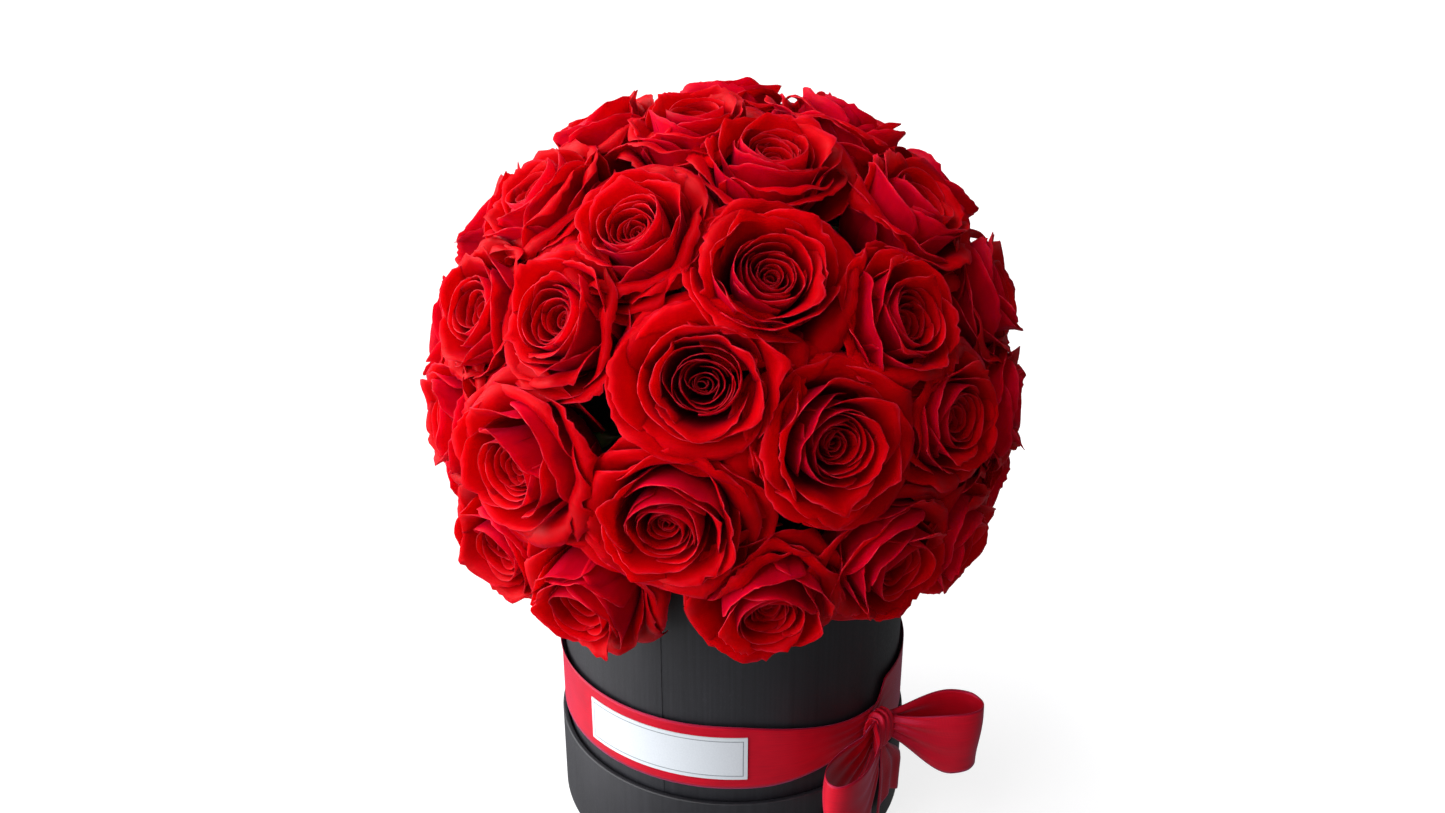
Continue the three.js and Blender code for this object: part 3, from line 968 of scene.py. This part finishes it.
KNOT_OUT = outward(KNOT_AZIMUTH)
KNOT_RIGHT = outward(KNOT_AZIMUTH + 90)
KNOT_MIDDLE = (knot_low.z + knot_high.z) / 2
KNOT_DEPTH = 9 * MM
KNOT_CORE = BAND_RADIUS + 0.3 * MM + KNOT_DEPTH / 2  # from the box's axis to the knot's middle
TAIL_NOTCH = 8 * MM

# The lengths that the ribbon was cut to, in metres.
KNOT_CUT = 0.036
LOOP_CUT = 0.092
TAIL_CUT = 0.046


def ribbon_piece(name, columns, rows, places_of, length):
    """A strip of satin: a blank sheet whose vertices go where a function of (u, v) says."""
    strip = blank_sheet(name, columns, rows)
    reshape(strip.data, places_of(*grid_places(strip)))
    thicken(strip, RIBBON_THICKNESS)
    bpy.ops.object.shade_smooth()
    strip.data.materials.append(satin_finish(f"{name}_satin", RIBBON_WIDTH / MM, length / MM))
    return strip


def about_knot(right, out, up):
    """Places from how far they are right of the knot's middle, out from the box's axis, and up."""
    flat = np.outer(right, np.array(KNOT_RIGHT)) + np.outer(out, np.array(KNOT_OUT))
    flat[:, 2] = up
    return flat


def band_places(u, v):
    """Round the box from the knot and back to it, narrowing and pleated as it nears the knot."""
    start, sweep = 1.5, 363  # degrees from the knot, and round
    offset = start - v * sweep
    narrowed_top, narrowed_bottom = 9.5 * MM, 6.5 * MM
    near = np.where(offset > -180, -offset, offset + 360)
    left = offset > -180
    dip = 1 - np.where(left, smooth_step(near, 0, 52), smooth_step(near, 3, 9))
    lift = 1 - np.where(left, smooth_step(near, 0, 40), smooth_step(near, 3, 14))
    top = band_high.z - narrowed_top * dip
    bottom = band_low.z + narrowed_bottom * lift
    up = bottom + (top - bottom) * (u + 1) / 2
    pleats = np.exp(-((near / np.where(left, 15, 7)) ** 2))
    azimuth = KNOT_AZIMUTH + offset
    slack_azimuth, slack_spread = -76, 22
    slack = np.exp(-(((azimuth - slack_azimuth) / slack_spread) ** 2))
    slack = slack * smooth_step(up, band_high.z - 5 * MM, band_high.z)
    radius = BAND_RADIUS - 0.2 * MM + 0.3 * MM * pleats * np.cos(4.5 * math.pi * u)
    radius += 0.7 * MM * slack + 0.3 * MM * smooth_step(v, 0.985, 1.0)
    turn = np.radians(azimuth)
    return np.stack([radius * np.sin(turn), -radius * np.cos(turn), up], axis=1)


def knot_places(u, v):
    """Over the front of the knot and round behind it, gathered into pleats."""
    half_depth, half_height = KNOT_DEPTH / 2 - 0.6 * MM, 7.4 * MM
    tuck_start = 0.72  # where the ribbon's margins turn in under the knot
    pleat_depth, pleat_turns = 1.0 * MM, 5.2
    angle = math.pi + TAU * v
    depth = half_depth * np.sign(np.cos(angle)) * np.abs(np.cos(angle)) ** 0.7
    rise = half_height * np.sign(np.sin(angle)) * np.abs(np.sin(angle)) ** 0.85
    outer = np.clip(np.abs(u) / tuck_start, 0, 1)
    tuck = smooth_step(np.abs(u), tuck_start, 1.0)
    shrink = 1 - 0.14 * outer**3 - 0.40 * tuck
    pleats = pleat_depth * np.sin(pleat_turns * math.pi * u + 1.1 * np.sin(angle))
    pleats = pleats * (1 - 0.8 * outer**4)
    swell = 1 + pleats / (6 * MM)
    half_width = (6.2 - 1.3 * np.sin(angle) ** 2) * MM
    slant = 0.8 * MM * np.sin(angle)
    return about_knot(
        np.sign(u) * (outer * half_width - tuck * 3.0 * MM) + slant,
        KNOT_CORE + depth * shrink * swell,
        KNOT_MIDDLE + rise * shrink * swell,
    )


def loop_places(azimuth, side, drop, length, bulge, stand_off=0.0):
    """A bow loop: out of the knot along an azimuth, round its far end and back. drop is how far
    it hangs, bulge how wide it opens, and stand_off how far its end is held from the box."""
    ahead = np.array(outward(azimuth))
    aside = np.array(outward(azimuth - 90))
    gathered, opened = 5.6, 9.4  # half the ribbon's width in the knot, and what it gains, in mm
    pleat_depth, pleat_turns = 1.25 * MM, 3.2
    start = np.array(KNOT_OUT * KNOT_CORE + KNOT_RIGHT * side * 3.2 * MM)

    def places_of(u, v):
        reach = (1 - np.cos(TAU * v)) / 2
        spread = np.sin(TAU * v) * np.sin(math.pi * v) ** 1.3 * bulge / 1.22
        open_up = smooth_step(reach, 0.02, 0.72)
        half_width = (gathered + opened * open_up - 0.7 * smooth_step(reach, 0.9, 1.0)) * MM
        pleats = np.cos(pleat_turns * math.pi * u + 0.7 * np.sign(spread))
        gather = (1 - reach) ** 2 * pleats * pleat_depth
        flare = 0.9 * MM * np.sin(2.2 * u + 3 * v) * reach
        out = length * reach * (1 + 0.02 * np.sin(2 * u))
        flat = start + np.outer(out, ahead) + np.outer(spread + gather + flare, aside)
        flat += np.outer(stand_off * smooth_step(reach, 0, 0.3), np.array(KNOT_OUT))
        flat[:, 2] = KNOT_MIDDLE + (2 * MM - drop) * open_up + u * half_width
        flat[:, 2] -= 1.2 * MM * np.sign(spread) * reach * (1 - reach) * 2
        return flat

    return places_of


def tail_places(side):
    """A tail: gathered under the knot, hung down the lid's side, notched at its end."""
    hang = tail_high.z - tail_low.z
    gathered, full = 2.9 * MM, 13 * MM  # half its width at the knot, and below
    shift = 11.5 * MM
    full_from = 0.62  # how far down it is at its full width
    azimuth = KNOT_AZIMUTH + side * 11

    def places_of(u, v):
        open_out = smooth_step(v, 0, full_from)
        half_width = gathered + (full - gathered) * open_out**0.9
        across = u * half_width - side * shift * (1 - open_out)
        down = v * (hang - TAIL_NOTCH * (1 - np.abs(u)))
        folds = np.cos(2.6 * math.pi * u + side) * (1.1 - 0.4 * v) * MM
        out = LID_RADIUS + (1.8 + 0.4 * np.sin(2.6 * v + side)) * MM
        out = out + folds * smooth_step(v, 0, 0.15)
        ahead, aside = np.array(outward(azimuth)), np.array(outward(azimuth + 90))
        flat = np.outer(out, ahead) + np.outer(across, aside)
        flat[:, 2] = tail_high.z + 1.2 * MM - down
        return flat

    return places_of


def add_ribbon():
    """The strip round the box, the knot, two loops and two tails."""
    around = TAU * BAND_RADIUS
    band = ribbon_piece("ribbon_strip", 16, 300, band_places, around)
    put_on(band, None, "satin_ribbon", "box", "ribbon_band")

    knot = ribbon_piece("knot_wrap", 40, 44, knot_places, KNOT_CUT)
    put_on(knot, None, "satin_ribbon", "box", "ribbon_knot")

    right_way = loop_places(90, 1, drop=6 * MM, length=40 * MM, bulge=13 * MM)
    right = ribbon_piece("loop_right", 18, 72, right_way, LOOP_CUT)
    put_on(right, None, "satin_ribbon", "box", "bow_loop_right")

    drop = right_low.z - left_low.z
    left_way = loop_places(-34, -1, drop, length=42 * MM, bulge=12 * MM, stand_off=4 * MM)
    left = ribbon_piece("loop_left", 18, 72, left_way, LOOP_CUT)
    put_on(left, None, "satin_ribbon", "box", "bow_loop_left")

    for side, word in ((-1, "left"), (1, "right")):
        tail = ribbon_piece(f"tail_{word}", 22, 36, tail_places(side), TAIL_CUT)
        put_on(tail, None, "satin_ribbon", "box", f"ribbon_tail_{word}")


def ruled(count, span, margins):
    """Where a grid's lines go along a span, with lines at the margins from both ends."""
    inner = np.linspace(margins[-1], span - margins[-1], count + 1 - 2 * len(margins))
    far_margins = [span - margin for margin in reversed(margins[:-1])]
    return np.concatenate([[0], margins[:-1], inner, far_margins, [span]])


def add_label():
    """A white card bent round the ribbon, with a thin grey line set in from its edge."""
    thickness = 0.4 * MM
    radius = BAND_RADIUS + 0.3 * MM
    height = card_high.z - card_low.z
    length = math.radians(LABEL_END - LABEL_START) * radius
    inset, line = 1.5 * MM, 0.42 * MM
    columns, rows = 64, 16
    across = ruled(columns, length, (inset, inset + line))
    up = ruled(rows, height, (inset, inset + line))
    card = blank_sheet("label_card_face", columns, rows)
    u, v = grid_places(card)
    along = across[np.round((u + 1) / 2 * (len(across) - 1)).astype(int)]
    rise = up[np.round(v * (len(up) - 1)).astype(int)]
    turn = np.radians(LABEL_START) + along / radius
    out, ahead = radius * np.sin(turn), -radius * np.cos(turn)
    reshape(card.data, np.stack([out, ahead, card_low.z + rise], axis=1))
    card.data.materials.append(FINISHES["card"])
    card.data.materials.append(FINISHES["ink"])
    for face in card.data.polygons:
        place = face.center
        from_side = (math.atan2(place.x, -place.y) - math.radians(LABEL_START)) * radius
        edge = min(from_side, length - from_side, place.z - card_low.z, card_high.z - place.z)
        face.material_index = int(inset < edge < inset + line)
    thicken(card, thickness)
    bpy.ops.object.shade_smooth_by_angle(angle=SOFT_EDGE)
    put_on(card, None, "label_card", "box", "label_card")


add_foam()
add_liner()
add_box()
add_lid()
add_ribbon()
add_label()
